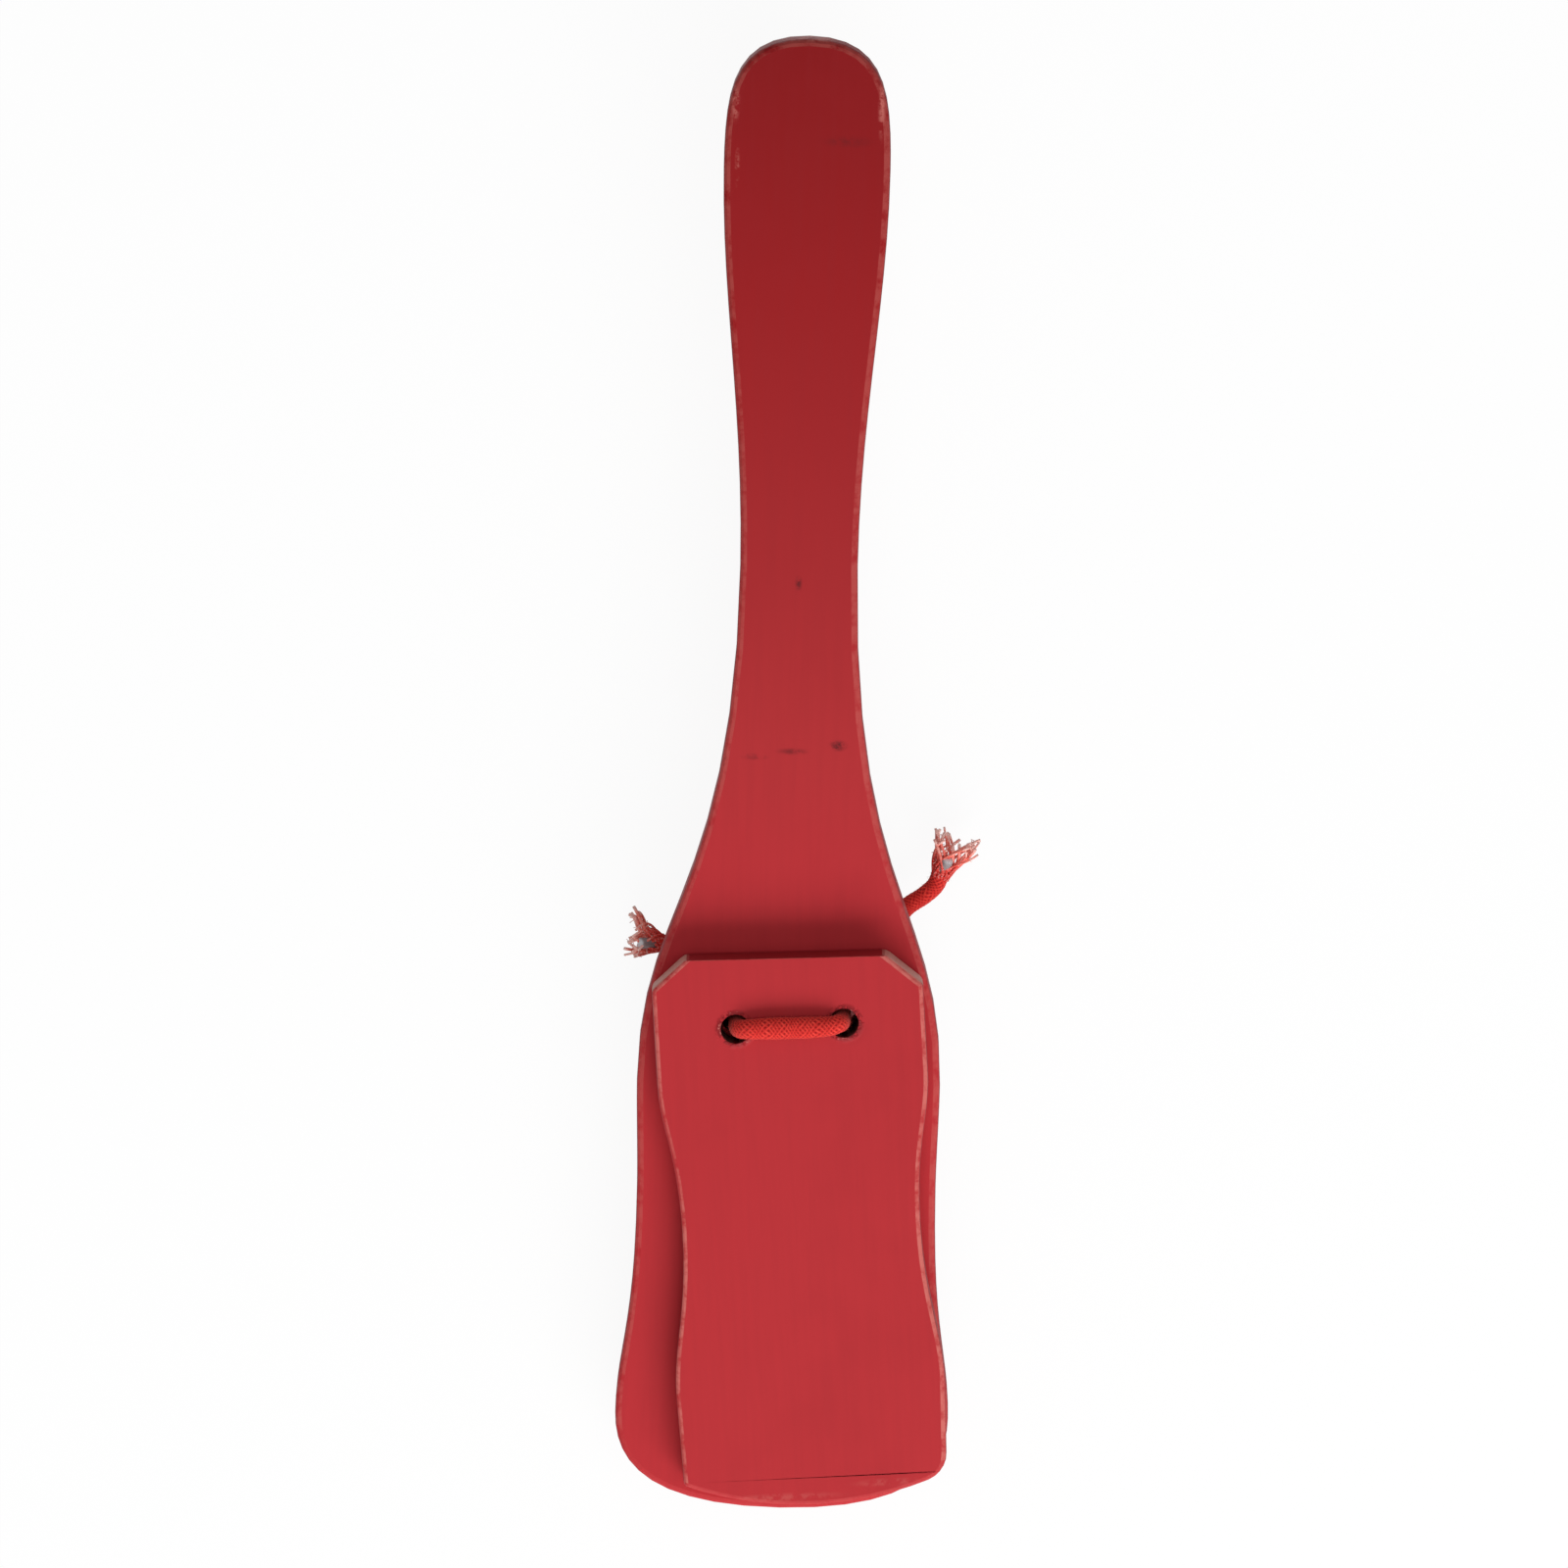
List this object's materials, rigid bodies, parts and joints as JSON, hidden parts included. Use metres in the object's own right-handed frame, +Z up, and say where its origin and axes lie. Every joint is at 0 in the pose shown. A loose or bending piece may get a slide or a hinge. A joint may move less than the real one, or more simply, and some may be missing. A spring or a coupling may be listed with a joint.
{
  "type": "flapper castanet",
  "caption": "Flat wooden paddle with loose clapper plates tied to its faces by an elastic cord; shaken by the handle, the plates clap.",
  "frame": {"origin": "middle of the part's footprint, on the surface it rests on", "axes": "+Y along the handle towards its end, +Z up out of the front face, +X to the right seen from the front with the handle up"},
  "size_m": [0.0555, 0.224, 0.0298],
  "materials": {
    "painted_wood": "satin red paint, worn at the edges",
    "painted_wood_front": "satin red paint, bare wood at the cut corners",
    "painted_wood_rear": "satin red paint, bare wood at the cut corners",
    "elastic_cord": "braided elastic sleeve",
    "frayed_sleeve": "frayed braid",
    "rubber_core": "cut rubber thread"
  },
  "bodies": {
    "paddle": {"paddle": "painted_wood"},
    "front_cord": {"cord_front_leg_left": "elastic_cord", "cord_front_leg_right": "elastic_cord"},
    "front_flapper": {"front_flapper": "painted_wood_front", "cord_front_bridge": "elastic_cord"},
    "rear_cord": {"cord_rear_leg_left": "elastic_cord", "cord_rear_leg_right": "elastic_cord"},
    "rear_flapper": {"rear_flapper": "painted_wood_rear", "cord_knot": "elastic_cord", "cord_tail_left": "elastic_cord", "cord_tail_right": "elastic_cord", "cord_fray_left": "frayed_sleeve", "cord_fray_right": "frayed_sleeve", "rubber_core_left": "rubber_core", "rubber_core_right": "rubber_core"}
  },
  "joints": [
    {"name": "front_twist", "type": "hinge", "parent": "paddle", "child": "front_cord", "pos_m": [0, -0.03584, 0.01488], "axis": [0, -0.0797, 0.9968], "range_deg": [-8.8, 0]},
    {"name": "front_swing", "type": "hinge", "parent": "front_cord", "child": "front_flapper", "pos_m": [-0.00081, -0.02568, 0.01925], "axis": [-0.9971, -0.0765, -0.0061], "range_deg": [0, 35], "stiffness_Nm_per_rad": 0.07, "springref_deg": -8.02},
    {"name": "rear_twist", "type": "hinge", "parent": "paddle", "child": "rear_cord", "pos_m": [0, -0.03584, 0.01488], "axis": [0, -0.0797, 0.9968], "range_deg": [-3.2, 5.6]},
    {"name": "rear_swing", "type": "hinge", "parent": "rear_cord", "child": "rear_flapper", "pos_m": [0.00022, -0.02509, 0.01218], "axis": [0.9998, -0.0209, -0.0017], "range_deg": [0, 35], "stiffness_Nm_per_rad": 0.07, "springref_deg": -8.02}
  ]
}
